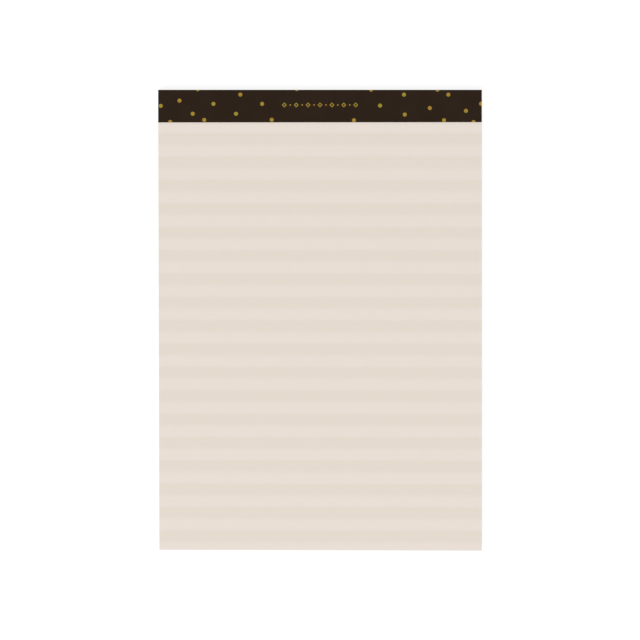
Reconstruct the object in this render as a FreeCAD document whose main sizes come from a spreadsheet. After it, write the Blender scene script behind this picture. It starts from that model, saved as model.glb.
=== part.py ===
"""Top-bound writing pad, lying on its back with the writing side up.

The pad is a block of sheets on a chipboard back. A dark strip is folded over the head and glued down front
and back. Wire stitches under the strip hold the sheets to the board, and a perforation just below the strip
lets a sheet be torn off. Foil dots and a foil ornament lie on the strip, and dark bands are printed on the
top sheet.

X runs across the pad, Y runs from the foot to the head, and Z is up. The origin is at the middle of the
underside. Sizes are in millimetres.
"""

import FreeCAD, Part
import os
import Sketcher
from math import dist

SIZES = {
    # The whole pad, as trimmed
    "pad_width": 209.55,
    "pad_length": 298.45,
    # Sheets and board
    "sheet_count": 50,
    "sheet_caliper": 0.1,
    "board_caliper": 1.0,
    # Strip over the head, with its legs measured from the outside of the fold
    "strip_caliper": 0.2,
    "front_leg": 21.2,
    "back_leg": 18.0,
    "fold_inner_radius": 0.3,
    # Perforation below the strip
    "perforation_drop": 1.0,
    "slit_length": 1.5,
    "slit_width": 0.1,
    "slit_tie": 0.6,
    "edge_tie": 1.0,
    # Wire stitches, set in from the outside of the fold and from the sides
    "wire_diameter": 0.5,
    "wire_clearance": 0.05,
    "stitch_crown": 12.0,
    "clinch_gap": 3.0,
    "stitch_setback": 9.0,
    "stitch_inset": 30.0,
    # Foil on the strip
    "foil_thickness": 0.03,
    "dot_diameter": 2.6,
    "ornament_drop": 9.9,
    "lozenge_size": 3.2,
    "lozenge_stroke": 0.55,
    "pip_diameter": 1.0,
    "ornament_gap": 1.75,
    # Print on the top sheet, counted up from the foot
    "ink_thickness": 0.02,
    "foot_margin": 5.0,
    "dark_band": 7.8,
    "light_band": 7.35,
}

# Middles of the dots: in from the nearer side of the strip, and down from the outside of the fold
LEFT_DOTS = [
    (1.7, 10.5), (7.0, -1.1), (7.8, 20.9), (13.8, 7.1), (22.4, 15.6), (25.6, -0.3), (29.8, 19.6),
    (35.8, 9.2), (50.4, 15.6), (53.2, 3.2), (67.3, 9.2), (73.5, 19.5), (89.7, -0.4),
]
RIGHT_DOTS = [
    (-1.2, 4.4), (0.5, 9.1), (5.4, 21.0), (10.3, 13.7), (21.7, 3.2), (24.5, 19.8), (28.7, 0.0),
    (33.7, 11.9), (49.9, 16.1), (50.4, 3.2), (65.9, 10.3), (71.7, 0.0), (82.8, 19.8),
]
LOZENGE_COUNT = 7
STITCH_SIDES = {"wire_stitch_left": -1, "wire_stitch_middle": 0, "wire_stitch_right": 1}

# Heights
BOARD_BOTTOM = "Dimensions.strip_caliper"
BOARD_TOP = f"({BOARD_BOTTOM} + Dimensions.board_caliper)"
STACK_TOP = f"({BOARD_TOP} + Dimensions.sheet_count * Dimensions.sheet_caliper)"
STRIP_TOP = f"({STACK_TOP} + Dimensions.strip_caliper)"
# Places along the pad
FOLD = "(Dimensions.pad_length / 2)"
HEAD = f"({FOLD} - Dimensions.strip_caliper)"
FRONT_LEG_END = f"({FOLD} - Dimensions.front_leg)"
BACK_LEG_END = f"({FOLD} - Dimensions.back_leg)"
PERFORATION = f"({FRONT_LEG_END} - Dimensions.perforation_drop)"
STITCH_LINE = f"({FOLD} - Dimensions.stitch_setback)"
FOOT = "(-Dimensions.pad_length / 2)"
# Places and sizes across the pad
LEFT = "(-Dimensions.pad_width / 2)"
RIGHT = "(Dimensions.pad_width / 2)"
OUTER_STITCH = f"({RIGHT} - Dimensions.stitch_inset)"
STITCH_LEG = "(Dimensions.stitch_crown / 2)"
SLIT_PITCH = "(Dimensions.slit_length + Dimensions.slit_tie)"
# Room for the wire in the sheets and the board, both its width and its depth
CHANNEL = "(Dimensions.wire_diameter + 2 * Dimensions.wire_clearance)"
FOLD_OUTER_RADIUS = "(Dimensions.fold_inner_radius + Dimensions.strip_caliper)"

document = FreeCAD.newDocument("WritingPad")


def dimension_sheet():
    """Spreadsheet that holds the driving sizes, one named cell each."""
    made = document.addObject("Spreadsheet::Sheet", "Dimensions")
    for row, (name, size) in enumerate(SIZES.items(), start=1):
        made.set(f"A{row}", name)
        made.set(f"B{row}", str(size))
        made.setAlias(f"B{row}", name)
    document.recompute()
    return made


def number(expression):
    """Present value of an expression."""
    return float(sheet.evalExpression(expression))


def place(item, x="0", y="0", z="0"):
    """Binds an object's position to three expressions."""
    for axis, expression in (("x", x), ("y", y), ("z", z)):
        item.setExpression(f"Placement.Base.{axis}", expression)


def new_body(label):
    """Empty body with the sub-part's name."""
    body = document.addObject("PartDesign::Body", label)
    body.Label = label
    return body


def origin_of(body, role):
    """The body's own origin plane or axis of that role."""
    return next(item for item in body.Origin.OriginFeatures if item.Role == role)


def new_sketch(body, name, role, offset="0"):
    """Sketch on one of the body's origin planes, moved along the plane's normal by an expression."""
    sketch = body.newObject("Sketcher::SketchObject", name)
    sketch.AttachmentSupport = [(origin_of(body, role), "")]
    sketch.MapMode = "FlatFace"
    sketch.setExpression("AttachmentOffset.Base.z", offset)
    return sketch


def bind(sketch, kind, *where, to):
    """Adds a dimension to a sketch and binds it to an expression."""
    index = sketch.addConstraint(Sketcher.Constraint(kind, *where, number(to)))
    sketch.setExpression(f"Constraints[{index}]", to)


def bind_point(sketch, curve, end, x, y):
    """Binds one point of a curve to a place given by two expressions."""
    bind(sketch, "DistanceX", -1, 1, curve, end, to=x)
    bind(sketch, "DistanceY", -1, 1, curve, end, to=y)


def add_outline(sketch, corners):
    """Closed outline of straight edges through corners, each a pair of expressions."""
    points = [FreeCAD.Vector(number(x), number(y), 0) for x, y in corners]
    edges = [sketch.addGeometry(Part.LineSegment(*ends)) for ends in zip(points, points[1:] + points[:1])]
    for edge, following, (x, y) in zip(edges, edges[1:] + edges[:1], corners):
        sketch.addConstraint(Sketcher.Constraint("Coincident", edge, 2, following, 1))
        bind_point(sketch, edge, 1, x, y)


def add_rectangle(sketch, left, right, bottom, top):
    """Rectangle between four expressions."""
    add_outline(sketch, [(left, bottom), (right, bottom), (right, top), (left, top)])


def add_circle(sketch, x, y, diameter):
    """Circle whose middle and diameter are expressions."""
    middle = FreeCAD.Vector(number(x), number(y), 0)
    curve = sketch.addGeometry(Part.Circle(middle, FreeCAD.Vector(0, 0, 1), number(diameter) / 2))
    bind_point(sketch, curve, 3, x, y)
    bind(sketch, "Diameter", curve, to=diameter)


def pad_across(body, sketch):
    """Extrudes a side profile over the whole width of the pad."""
    extrusion = body.newObject("PartDesign::Pad", f"{sketch.Name}_across")
    extrusion.Profile = sketch
    extrusion.Midplane = True
    extrusion.setExpression("Length", "Dimensions.pad_width")
    document.recompute()


def round_edges(body, name, lines, radius):
    """Rounds the edges that run along X through lines, each a pair of expressions for Y and Z."""
    base = body.Tip
    corners = [(number(y), number(z)) for y, z in lines]
    wanted = []
    for index, edge in enumerate(base.Shape.Edges, start=1):
        ends = [vertex.Point[1:] for vertex in edge.Vertexes]
        if any(all(dist(corner, end) < 1e-6 for end in ends) for corner in corners):
            wanted.append(f"Edge{index}")
    fillet = body.newObject("PartDesign::Fillet", name)
    fillet.Base = (base, wanted)
    fillet.setExpression("Radius", radius)
    document.recompute()


def cut(body, sketch, depth=None, upward=False):
    """Pocket from a sketch, to a depth given by an expression or else right through."""
    before = body.Tip.Shape.Volume
    pocket = body.newObject("PartDesign::Pocket", f"{sketch.Name}_cut")
    pocket.Profile = sketch
    pocket.Reversed = upward
    if depth is None:
        pocket.Type = "ThroughAll"
    else:
        pocket.setExpression("Length", depth)
    document.recompute()
    if pocket.Shape.Volume >= before:
        raise RuntimeError(f"{pocket.Name} removed nothing")
    return pocket


def repeat_across(body, cuts, spacing, count):
    """Repeats cuts along X at a spacing."""
    before = body.Tip.Shape.Volume
    row = body.newObject("PartDesign::LinearPattern", f"{cuts[0].Name}_row")
    row.Originals = cuts
    row.Direction = (origin_of(body, "X_Axis"), [""])
    row.Mode = "Spacing"
    row.setExpression("Offset", spacing)
    row.setExpression("Occurrences", count)
    body.Tip = row
    document.recompute()
    if row.Shape.Volume >= before:
        raise RuntimeError(f"{row.Name} removed nothing")


def cut_for_stitches(body, face, upward=False):
    """Two leg holes and a channel for each stitch, cut from a face at a height given by an expression."""
    middle = f"-{OUTER_STITCH}"
    holes = new_sketch(body, f"{body.Name}_leg_holes", "XY_Plane", face)
    channel = new_sketch(body, f"{body.Name}_channel", "XY_Plane", face)
    for side in ("-", "+"):
        add_circle(holes, f"{middle} {side} {STITCH_LEG}", STITCH_LINE, CHANNEL)
    add_rectangle(
        channel,
        f"{middle} - {STITCH_LEG}",
        f"{middle} + {STITCH_LEG}",
        f"{STITCH_LINE} - {CHANNEL} / 2",
        f"{STITCH_LINE} + {CHANNEL} / 2",
    )
    cuts = [cut(body, holes, upward=upward), cut(body, channel, CHANNEL, upward)]
    repeat_across(body, cuts, OUTER_STITCH, str(len(STITCH_SIDES)))


def cut_perforation(body):
    """Row of slits through every sheet, with a tie left between them and at each side."""
    left = f"({LEFT} + Dimensions.edge_tie)"
    half_width = "Dimensions.slit_width / 2"
    slit = new_sketch(body, "perforation_slit", "XY_Plane", STACK_TOP)
    add_rectangle(
        slit,
        left,
        f"{left} + Dimensions.slit_length",
        f"{PERFORATION} - {half_width}",
        f"{PERFORATION} + {half_width}",
    )
    room = "(Dimensions.pad_width - 2 * Dimensions.edge_tie - Dimensions.slit_length)"
    repeat_across(body, [cut(body, slit)], SLIT_PITCH, f"floor({room} / {SLIT_PITCH}) + 1")


def sheet_block():
    """All the sheets as one block, rounded where the strip folds over its head."""
    body = new_body("sheet_block")
    profile = new_sketch(body, "sheet_profile", "YZ_Plane")
    add_rectangle(profile, FOOT, HEAD, BOARD_TOP, STACK_TOP)
    pad_across(body, profile)
    round_edges(body, "sheet_head", [(HEAD, STACK_TOP)], "Dimensions.fold_inner_radius")
    cut_for_stitches(body, STACK_TOP)
    cut_perforation(body)
    return body


def backing_board():
    """Chipboard back, with its channels on the underside where the wire is clinched."""
    body = new_body("backing_board")
    profile = new_sketch(body, "board_profile", "YZ_Plane")
    add_rectangle(profile, FOOT, HEAD, BOARD_BOTTOM, BOARD_TOP)
    pad_across(body, profile)
    round_edges(body, "board_head", [(HEAD, BOARD_BOTTOM)], "Dimensions.fold_inner_radius")
    cut_for_stitches(body, BOARD_BOTTOM, upward=True)
    return body


def binding_strip():
    """Strip folded over the head, with a leg down the front and a leg down the back."""
    body = new_body("binding_strip")
    profile = new_sketch(body, "strip_profile", "YZ_Plane")
    add_outline(
        profile,
        [
            (BACK_LEG_END, "0"),
            (FOLD, "0"),
            (FOLD, STRIP_TOP),
            (FRONT_LEG_END, STRIP_TOP),
            (FRONT_LEG_END, STACK_TOP),
            (HEAD, STACK_TOP),
            (HEAD, BOARD_BOTTOM),
            (BACK_LEG_END, BOARD_BOTTOM),
        ],
    )
    pad_across(body, profile)
    inner_corners = [(HEAD, STACK_TOP), (HEAD, BOARD_BOTTOM)]
    outer_corners = [(FOLD, STRIP_TOP), (FOLD, "0")]
    round_edges(body, "inner_fold", inner_corners, "Dimensions.fold_inner_radius")
    round_edges(body, "outer_fold", outer_corners, FOLD_OUTER_RADIUS)
    return body


def wire_stitch(label, side):
    """Stitch of round wire, with its crown on the sheets and its two ends clinched under the board."""
    body = new_body(label)
    crown = f"({STACK_TOP} - {CHANNEL} / 2)"
    clinch = f"({BOARD_BOTTOM} + {CHANNEL} / 2)"
    tip = "(Dimensions.clinch_gap / 2)"
    # The inside of a bend is twice the clearance, which keeps the wire off the corner that it bends round
    bend = "(2 * Dimensions.wire_clearance + Dimensions.wire_diameter / 2)"
    corners = [
        (f"-{tip}", clinch),
        (f"-{STITCH_LEG}", clinch),
        (f"-{STITCH_LEG}", crown),
        (STITCH_LEG, crown),
        (STITCH_LEG, clinch),
        (tip, clinch),
    ]
    route = new_sketch(body, f"{label}_route", "XZ_Plane", f"-{STITCH_LINE}")
    add_route(route, corners, bend)
    section = new_sketch(body, f"{label}_section", "YZ_Plane", f"-{tip}")
    add_circle(section, STITCH_LINE, clinch, "Dimensions.wire_diameter")
    pipe = body.newObject("PartDesign::AdditivePipe", f"{label}_wire")
    pipe.Profile = section
    pipe.Spine = route
    place(body, x=f"{side} * {OUTER_STITCH}")
    document.recompute()
    return body


def add_route(sketch, corners, bend):
    """Open route of runs through corners, level and upright by turns, with a quarter turn at each bend."""
    points = [FreeCAD.Vector(number(x), number(y), 0) for x, y in corners]
    runs = [sketch.addGeometry(Part.LineSegment(*ends)) for ends in zip(points, points[1:])]
    for run, following in zip(runs, runs[1:]):
        sketch.addConstraint(Sketcher.Constraint("Coincident", run, 2, following, 1))
        sketch.fillet(run, 2, number(bend))
        bind(sketch, "Radius", sketch.GeometryCount - 1, to=bend)
    for run, (_, y) in list(zip(runs, corners))[0::2]:
        sketch.addConstraint(Sketcher.Constraint("Horizontal", run))
        bind(sketch, "DistanceY", -1, 1, run, 1, to=y)
    for run, (x, _) in list(zip(runs, corners))[1::2]:
        sketch.addConstraint(Sketcher.Constraint("Vertical", run))
        bind(sketch, "DistanceX", -1, 1, run, 1, to=x)
    bind(sketch, "DistanceX", -1, 1, runs[0], 1, to=corners[0][0])
    bind(sketch, "DistanceX", -1, 1, runs[-1], 2, to=corners[-1][0])


def foil_dots():
    """Round foil dots, trimmed to the flat part of the strip's front leg."""
    places = [(f"{LEFT} + {inward}", down) for inward, down in LEFT_DOTS]
    places += [(f"{RIGHT} - {inward}", down) for inward, down in RIGHT_DOTS]
    dots = []
    for index, (across, down) in enumerate(places, start=1):
        dot = document.addObject("Part::Cylinder", f"dot_{index}")
        dot.setExpression("Radius", "Dimensions.dot_diameter / 2")
        dot.setExpression("Height", "Dimensions.foil_thickness")
        place(dot, across, f"{FOLD} - {down}", STRIP_TOP)
        dots.append(dot)
    scattered = document.addObject("Part::Compound", "scattered_dots")
    scattered.Links = dots
    flat = document.addObject("Part::Box", "flat_of_the_strip")
    flat.setExpression("Length", "Dimensions.pad_width")
    flat.setExpression("Width", f"Dimensions.front_leg - {FOLD_OUTER_RADIUS}")
    flat.setExpression("Height", "Dimensions.foil_thickness")
    place(flat, LEFT, FRONT_LEG_END, STRIP_TOP)
    trimmed = document.addObject("Part::Common", "foil_dots")
    trimmed.Base = scattered
    trimmed.Tool = flat
    # The dots share no face, so there is nothing to refine
    trimmed.Refine = False
    return trimmed


def lozenge(name, size, x):
    """Square foil tile on its corner, with its diagonal and its place across given by expressions."""
    tile = document.addObject("Part::Prism", name)
    tile.Polygon = 4
    tile.setExpression("Circumradius", f"{size} / 2")
    tile.setExpression("Height", "Dimensions.foil_thickness")
    place(tile, x, f"{FOLD} - Dimensions.ornament_drop", STRIP_TOP)
    return tile


def foil_ornament():
    """Row of open foil lozenges with a round pip between each two, about the middle of the strip."""
    pitch = "(Dimensions.lozenge_size + Dimensions.pip_diameter + 2 * Dimensions.ornament_gap)"
    opening = "(Dimensions.lozenge_size - 2 * sqrt(2) * Dimensions.lozenge_stroke)"
    marks = []
    for index in range(LOZENGE_COUNT):
        x = f"{index - (LOZENGE_COUNT - 1) / 2} * {pitch}"
        ring = document.addObject("Part::Cut", f"lozenge_{index + 1}")
        ring.Base = lozenge(f"tile_{index + 1}", "Dimensions.lozenge_size", x)
        ring.Tool = lozenge(f"opening_{index + 1}", opening, x)
        marks.append(ring)
    for index in range(LOZENGE_COUNT - 1):
        pip = document.addObject("Part::Cylinder", f"pip_{index + 1}")
        pip.setExpression("Radius", "Dimensions.pip_diameter / 2")
        pip.setExpression("Height", "Dimensions.foil_thickness")
        x = f"{index - (LOZENGE_COUNT - 2) / 2} * {pitch}"
        place(pip, x, f"{FOLD} - Dimensions.ornament_drop", STRIP_TOP)
        marks.append(pip)
    ornament = document.addObject("Part::Compound", "foil_ornament")
    ornament.Links = marks
    return ornament


def printed_bands():
    """Dark bands printed across the top sheet, up to the last one that fits below the perforation."""
    pitch = "(Dimensions.dark_band + Dimensions.light_band)"
    room = f"({PERFORATION} - {FOOT} - Dimensions.foot_margin - Dimensions.dark_band)"
    bands = []
    for index in range(int(number(f"floor({room} / {pitch}) + 1"))):
        band = document.addObject("Part::Box", f"band_{index + 1}")
        band.setExpression("Length", "Dimensions.pad_width")
        band.setExpression("Width", "Dimensions.dark_band")
        band.setExpression("Height", "Dimensions.ink_thickness")
        place(band, LEFT, f"{FOOT} + Dimensions.foot_margin + {index} * {pitch}", STACK_TOP)
        bands.append(band)
    printed = document.addObject("Part::Compound", "printed_bands")
    printed.Links = bands
    return printed


def check(parts):
    """Stops if an object failed or a sub-part's shape is missing or not valid."""
    document.recompute()
    failed = [item.Name for item in document.Objects if {"Invalid", "Error"} & set(item.State)]
    failed += [part.Label for part in parts if part.Shape.isNull() or not part.Shape.isValid()]
    if failed:
        raise RuntimeError(f"These failed: {failed}")


sheet = dimension_sheet()
sub_parts = [sheet_block(), backing_board(), binding_strip()]
sub_parts += [wire_stitch(label, side) for label, side in STITCH_SIDES.items()]
sub_parts += [foil_dots(), foil_ornament(), printed_bands()]
check(sub_parts)

os.makedirs("parts", exist_ok=True)
for part in sub_parts:
    part.Shape.exportStep(f"parts/{part.Label}.step")
    box = part.Shape.BoundBox
    print(f"{part.Label}: {len(part.Shape.Solids)} solids, {part.Shape.Volume:.3f} mm3, {box}")
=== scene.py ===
"""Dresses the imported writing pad: paper, board, folded strip, foil marks and stitches, in a white studio.

Every size is in metres unless its name or comment says millimetres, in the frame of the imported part: +X
across the pad, +Y from the foot to the bound head and +Z up out of the writing side.
"""

import logging
import math
from dataclasses import dataclass, field
from enum import Enum
from functools import cached_property
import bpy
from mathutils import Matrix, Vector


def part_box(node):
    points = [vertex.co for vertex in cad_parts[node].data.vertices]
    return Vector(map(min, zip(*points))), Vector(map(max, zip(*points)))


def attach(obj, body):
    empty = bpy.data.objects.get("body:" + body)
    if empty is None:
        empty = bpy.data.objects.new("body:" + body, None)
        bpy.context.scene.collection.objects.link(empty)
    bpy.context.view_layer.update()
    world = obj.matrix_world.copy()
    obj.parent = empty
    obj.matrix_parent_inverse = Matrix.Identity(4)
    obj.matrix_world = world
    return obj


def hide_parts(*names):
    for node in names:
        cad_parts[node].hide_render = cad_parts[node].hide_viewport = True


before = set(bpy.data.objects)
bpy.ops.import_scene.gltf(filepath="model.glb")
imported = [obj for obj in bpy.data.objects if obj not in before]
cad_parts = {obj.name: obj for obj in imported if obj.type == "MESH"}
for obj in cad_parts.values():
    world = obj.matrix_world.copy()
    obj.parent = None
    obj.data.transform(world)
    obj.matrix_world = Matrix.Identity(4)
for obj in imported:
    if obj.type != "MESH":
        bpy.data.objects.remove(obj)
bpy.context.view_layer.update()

import bmesh
import bpy
from bpy.types import Material, Mesh, Node, NodeOutputs, NodeSocket, NodeTree, Object, Scene
from mathutils import Vector

MM = 0.001
# Points of one piece that lie this near each other become one
WELD = 0.001 * MM
ROOT = "root"
WHITE = (1.0, 1.0, 1.0, 1.0)
# The kind of input that takes each type of value in a Geometry Nodes tree, with None for a mesh or a curve
INPUT_KINDS = {
    int: "Int",
    float: "Float",
    str: "String",
    Material: "Material",
    type(None): "Geometry",
}
# The settings of a comparison of two whole numbers
SAME_NUMBER = {"data_type": "INT", "operation": "EQUAL"}
Colour = tuple[float, float, float, float]
log = logging.getLogger("legal_pad")


class Side(Enum):
    """The long edge that a mark is measured in from, with the sign of its X."""

    LEFT = -1
    RIGHT = 1


class Overlap(Enum):
    """What a solid keeps of the place that it shares with another."""

    SHARED = "INTERSECT"
    REST = "DIFFERENCE"


class Slot(Enum):
    """Names of the material slots of the new pieces, which hand_over is given but doesn't read."""

    SHEET = "sheet_paper"
    BAND = "band_print"
    BOARD = "chipboard"
    STRIP = "strip_paper"
    FOIL = "gold_foil"


def linear(code: str) -> Colour:
    """Turns an sRGB hex colour into linear light.

    Args:
        code: The colour as "#RRGGBB".

    Returns:
        Linear red, green and blue, and an alpha of 1.
    """
    parts = [int(code[at : at + 2], 16) / 255 for at in (1, 3, 5)]
    red, green, blue = (c / 12.92 if c <= 0.04045 else ((c + 0.055) / 1.055) ** 2.4 for c in parts)
    return red, green, blue, 1.0


def per_metre(millimetres: float) -> float:
    """Gives the texture scale at which one feature is that many millimetres wide."""
    return 1 / (millimetres * MM)


def add_node(tree: NodeTree, kind: str, inputs: dict | None = None, **settings) -> Node:
    """Adds one node, sets it up and links it.

    Args:
        tree: The node tree to add to.
        kind: The node's type name.
        inputs: What goes into each socket, by its name or number: a value, a socket, a node, which gives
            its first output, or a list of these for a socket that takes several links.
        settings: The node's own properties.

    Returns:
        The new node.
    """
    node = tree.nodes.new(kind)
    for name, value in settings.items():
        setattr(node, name, value)
    for key, given in (inputs or {}).items():
        for value in given if isinstance(given, list) else [given]:
            source = value.outputs[0] if isinstance(value, Node) else value
            if isinstance(source, NodeSocket):
                tree.links.new(source, node.inputs[key])
            else:
                node.inputs[key].default_value = source
    return node


def sizes_of(owner: object, *names: str) -> dict:
    """Gives some of an object's sizes under the names that a tree's inputs have.

    Args:
        owner: The object whose sizes they are.
        names: The sizes' names in the object, such as "slit_pitch".

    Returns:
        The value of each size by its name in a tree, such as "Slit Pitch".
    """
    return {name.replace("_", " ").title(): getattr(owner, name) for name in names}


def geometry_tree(name: str, inputs: dict) -> tuple[NodeTree, NodeOutputs]:
    """Starts a Geometry Nodes tree with named inputs.

    Args:
        name: The tree's name.
        inputs: Each input's name with a value of its type, or None for a mesh or a curve.

    Returns:
        The tree and the sockets that give its inputs, by name.
    """
    tree = bpy.data.node_groups.new(name, "GeometryNodeTree")
    for label, value in inputs.items():
        kind = INPUT_KINDS[type(value)]
        tree.interface.new_socket(name=label, in_out="INPUT", socket_type=f"NodeSocket{kind}")
    tree.interface.new_socket(name="Geometry", in_out="OUTPUT", socket_type="NodeSocketGeometry")
    return tree, add_node(tree, "NodeGroupInput").outputs


def thicken(tree: NodeTree, flat: Node, thickness: NodeSocket) -> Node:
    """Adds the nodes that make a closed solid of flat faces that look up.

    Args:
        tree: The node tree to add to.
        flat: The node that gives the faces.
        thickness: How far the solid rises from them.

    Returns:
        The node that gives the solid.
    """
    rise = {"Mesh": flat, "Offset Scale": thickness, "Individual": False}
    raised = add_node(tree, "GeometryNodeExtrudeMesh", rise, mode="FACES")
    under = add_node(tree, "GeometryNodeFlipFaces", {"Mesh": flat})
    both = add_node(tree, "GeometryNodeJoinGeometry", {"Geometry": [raised, under]})
    return add_node(tree, "GeometryNodeMergeByDistance", {"Geometry": both, "Distance": WELD})


def finish_tree(tree: NodeTree, shape: Node, material: NodeSocket) -> None:
    """Ends a tree in one real mesh that has its material.

    Args:
        tree: The node tree to end.
        shape: The node that gives the shape.
        material: The input that gives the material.
    """
    real = add_node(tree, "GeometryNodeRealizeInstances", {"Geometry": shape})
    dressed = add_node(tree, "GeometryNodeSetMaterial", {"Geometry": real, "Material": material})
    add_node(tree, "NodeGroupOutput", {"Geometry": dressed})


def grow(name: str, tree: NodeTree, values: dict, base: Mesh | None = None) -> Object:
    """Runs a Geometry Nodes tree once and keeps its result as a plain mesh.

    Args:
        name: The piece's name.
        tree: The tree to run.
        values: The value of each of the tree's named inputs.
        base: The mesh that the tree reads, if it reads one.

    Returns:
        The piece, at the origin, with no modifier left on it.
    """
    piece = bpy.data.objects.new(name, base or bpy.data.meshes.new(f"{name}_start"))
    modifier = piece.modifiers.new(tree.name, "NODES")
    modifier.node_group = tree
    for socket in tree.interface.items_tree:
        if socket.in_out == "INPUT" and socket.name in values:
            modifier[socket.identifier] = values[socket.name]
    bpy.context.scene.collection.objects.link(piece)
    seen = bpy.context.evaluated_depsgraph_get()
    mesh = bpy.data.meshes.new_from_object(piece.evaluated_get(seen), depsgraph=seen)
    piece.modifiers.remove(modifier)
    # The tree's own meshes start with an empty material slot
    while mesh.materials and mesh.materials[0] is None:
        mesh.materials.pop(index=0)
    # Smooth shading would tilt the normals of the wide flat faces, and the bends have fine enough facets
    mesh.shade_flat()
    piece.data = mesh
    mesh.name = name
    return piece


def hand_over(piece: Object, slot: Slot, *nodes: str) -> None:
    """Puts a finished piece on its body and reports it.

    Args:
        piece: The finished piece.
        slot: Not used.
        nodes: The CAD nodes that it stands for.
    """
    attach(piece, ROOT)
    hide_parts(*nodes)
    triangles = sum(len(face.vertices) - 2 for face in piece.data.polygons)
    finish = piece.data.materials[0].name
    log.info("%s: %d triangles, finish %s, for %s", piece.name, triangles, finish, nodes)


class Finish:
    """What every finish shares: one named material with one surface."""

    name = "finish"

    def surface(self, tree: NodeTree) -> Node:
        """Adds the nodes of the surface.

        Args:
            tree: The material's node tree.

        Returns:
            The node of the whole surface.
        """
        raise NotImplementedError

    def material(self) -> Material:
        """Builds the material from the surface's nodes.

        Returns:
            The material, with the finish's name.
        """
        made = bpy.data.materials.new(self.name)
        made.use_nodes = True
        made.node_tree.nodes.clear()
        add_node(made.node_tree, "ShaderNodeOutputMaterial", {"Surface": self.surface(made.node_tree)})
        return made


@dataclass(frozen=True)
class WritingPaper(Finish):
    """Uncoated wood-free writing paper, machine made and guillotined.

    To the eye it is dead matt, with soft clouds where the fibres lie closer. Its cut edges show as fine
    lines, with faint upright marks where the blade had a nick.
    """

    name: str = "uncoated_writing_paper"
    tone: str = "#E9DFD6"
    dense: str = "#E6DBD1"
    edge: str = "#D0C1AF"
    roughness: float = 0.88
    specular: float = 0.25
    cloud_mm: float = 7.0
    # Real fibres are 0.02 mm wide, so the flecks are drawn fifty times as coarse to show at all
    fleck_mm: float = 1.0
    # The sheets are 0.1 mm thick, and their edges are drawn in bundles of about three to show as lines
    bundle_mm: float = 0.26
    bundle_length_mm: float = 180.0
    nick_mm: float = 0.5

    def face(self, tree: NodeTree, place: NodeSocket, flecks: Node) -> NodeSocket:
        """Adds the tone of the sheet's face.

        Args:
            tree: The material's node tree.
            place: The object coordinates.
            flecks: The pattern of fibre flecks.

        Returns:
            The colour.
        """
        cloudy = {"Vector": place, "Scale": per_metre(self.cloud_mm), "Detail": 4.0}
        clouds = add_node(tree, "ShaderNodeTexNoise", cloudy)
        texture = add_node(tree, "ShaderNodeMix", {0: 0.4, 2: clouds, 3: flecks})
        ends = {0: texture, 6: linear(self.tone), 7: linear(self.dense)}
        return add_node(tree, "ShaderNodeMix", ends, data_type="RGBA").outputs[2]

    def cut_edge(self, tree: NodeTree, place: NodeSocket) -> NodeSocket:
        """Adds the tone of the cut edge: lines along the sheets, and the blade's nicks across them.

        Args:
            tree: The material's node tree.
            place: The object coordinates.

        Returns:
            The colour.
        """
        along = per_metre(self.bundle_length_mm)
        across = per_metre(self.nick_mm)
        lines = ((along, along, per_metre(self.bundle_mm)), 0.35, 0.65)
        nicks = ((across, across, 0.0), 0.66, 0.76)
        shares = []
        for scale, low, high in (lines, nicks):
            laid = add_node(tree, "ShaderNodeMapping", {"Vector": place, "Scale": scale})
            pattern = add_node(tree, "ShaderNodeTexNoise", {"Vector": laid, "Scale": 1.0, "Detail": 2.5})
            spread = {"Value": pattern, "From Min": low, "From Max": high}
            shares.append(add_node(tree, "ShaderNodeMapRange", spread))
        terms = {0: shares[1], 1: 0.5, 2: shares[0]}
        both = add_node(tree, "ShaderNodeMath", terms, operation="MULTIPLY_ADD")
        ends = {0: both, 6: linear(self.tone), 7: linear(self.edge)}
        return add_node(tree, "ShaderNodeMix", ends, data_type="RGBA").outputs[2]

    def surface(self, tree: NodeTree) -> Node:
        """Adds the tones of the faces and of the cut edges, and the tooth of the paper.

        Args:
            tree: The material's node tree.

        Returns:
            The node of the whole surface.
        """
        coordinates = add_node(tree, "ShaderNodeTexCoord").outputs
        place = coordinates["Object"]
        flecked = {"Vector": place, "Scale": per_metre(self.fleck_mm), "Detail": 2.0}
        flecks = add_node(tree, "ShaderNodeTexNoise", flecked)
        facing = add_node(tree, "ShaderNodeSeparateXYZ", {0: coordinates["Normal"]})
        level = add_node(tree, "ShaderNodeMath", {0: facing.outputs[2]}, operation="ABSOLUTE")
        upright = add_node(tree, "ShaderNodeMath", {0: level, 1: 0.5}, operation="LESS_THAN")
        sides = {0: upright, 6: self.face(tree, place, flecks), 7: self.cut_edge(tree, place)}
        tone = add_node(tree, "ShaderNodeMix", sides, data_type="RGBA").outputs[2]
        relief = {"Height": flecks, "Strength": 0.25, "Distance": 0.02 * MM}
        tooth = add_node(tree, "ShaderNodeBump", relief)
        look = {"Base Color": tone, "Normal": tooth}
        look |= {"Roughness": self.roughness, "Specular IOR Level": self.specular}
        return add_node(tree, "ShaderNodeBsdfPrincipled", look)


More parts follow.
